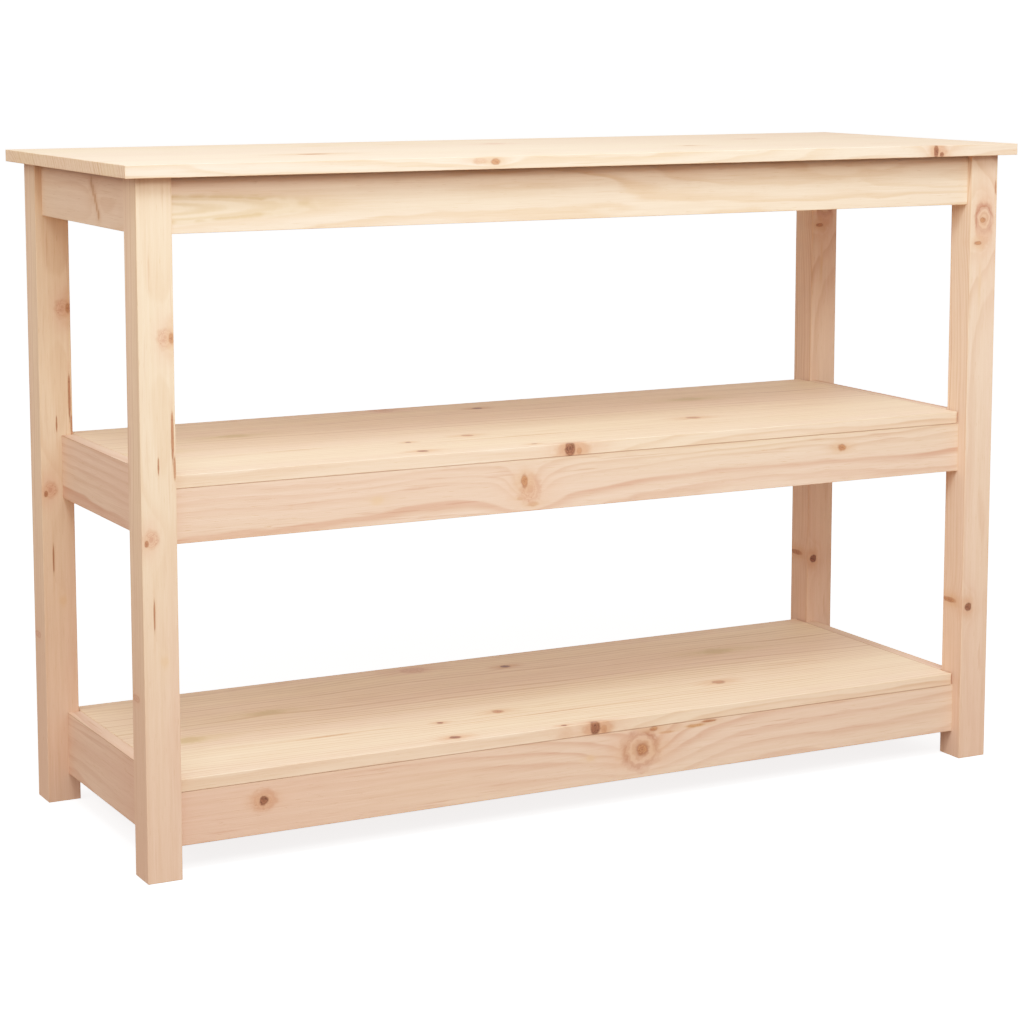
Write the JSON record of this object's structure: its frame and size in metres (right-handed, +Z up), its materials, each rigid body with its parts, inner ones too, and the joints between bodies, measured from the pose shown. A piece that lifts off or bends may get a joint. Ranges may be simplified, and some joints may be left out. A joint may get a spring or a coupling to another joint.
{
  "type": "potting bench",
  "caption": "Long pine potting bench on square legs, with an overhanging top, an apron and full-length middle and lower shelves.",
  "frame": {"origin": "centre of the footprint, on the floor that the four legs stand on", "axes": "+X along the bench towards its right end, +Y from the front to the back, +Z up"},
  "size_m": [1.1, 0.4, 0.74],
  "materials": {
    "pine_panel": "unfinished, sanded",
    "pine_leg": "unfinished, sanded",
    "pine_apron": "unfinished, sanded",
    "pine_rail": "unfinished, sanded",
    "pine_batten": "unfinished, planed",
    "beech_dowel": "turned, fluted",
    "zinc_plate": "zinc plated",
    "zinc_fastener": "zinc plated"
  },
  "bodies": {
    "root": {"back_apron": "pine_apron", "back_left_leg": "pine_leg", "back_right_leg": "pine_leg", "bearer_screws": "zinc_fastener", "cleat_screws": "zinc_fastener", "corner_bracket_screws": "zinc_fastener", "corner_brackets": "zinc_plate", "dowels_6mm": "beech_dowel", "dowels_8mm": "beech_dowel", "front_apron": "pine_apron", "front_left_leg": "pine_leg", "front_right_leg": "pine_leg", "hanger_bolt_nuts": "zinc_fastener", "hanger_bolt_washers": "zinc_fastener", "hanger_bolts": "zinc_fastener", "left_apron": "pine_apron", "lower_shelf_back_rail": "pine_rail", "lower_shelf_bearer": "pine_batten", "lower_shelf_front_rail": "pine_rail", "lower_shelf_left_cleat": "pine_batten", "lower_shelf_left_rail": "pine_rail", "lower_shelf_panel": "pine_panel", "lower_shelf_right_cleat": "pine_batten", "lower_shelf_right_rail": "pine_rail", "middle_shelf_back_rail": "pine_rail", "middle_shelf_bearer": "pine_batten", "middle_shelf_front_rail": "pine_rail", "middle_shelf_left_cleat": "pine_batten", "middle_shelf_left_rail": "pine_rail", "middle_shelf_panel": "pine_panel", "middle_shelf_right_cleat": "pine_batten", "middle_shelf_right_rail": "pine_rail", "right_apron": "pine_apron", "shelf_angle_brackets": "zinc_plate", "shelf_bracket_screws": "zinc_fastener", "tabletop": "pine_panel", "top_bearer": "pine_batten", "top_fixing_brackets": "zinc_plate", "top_fixing_screws": "zinc_fastener"}
  },
  "joints": []
}
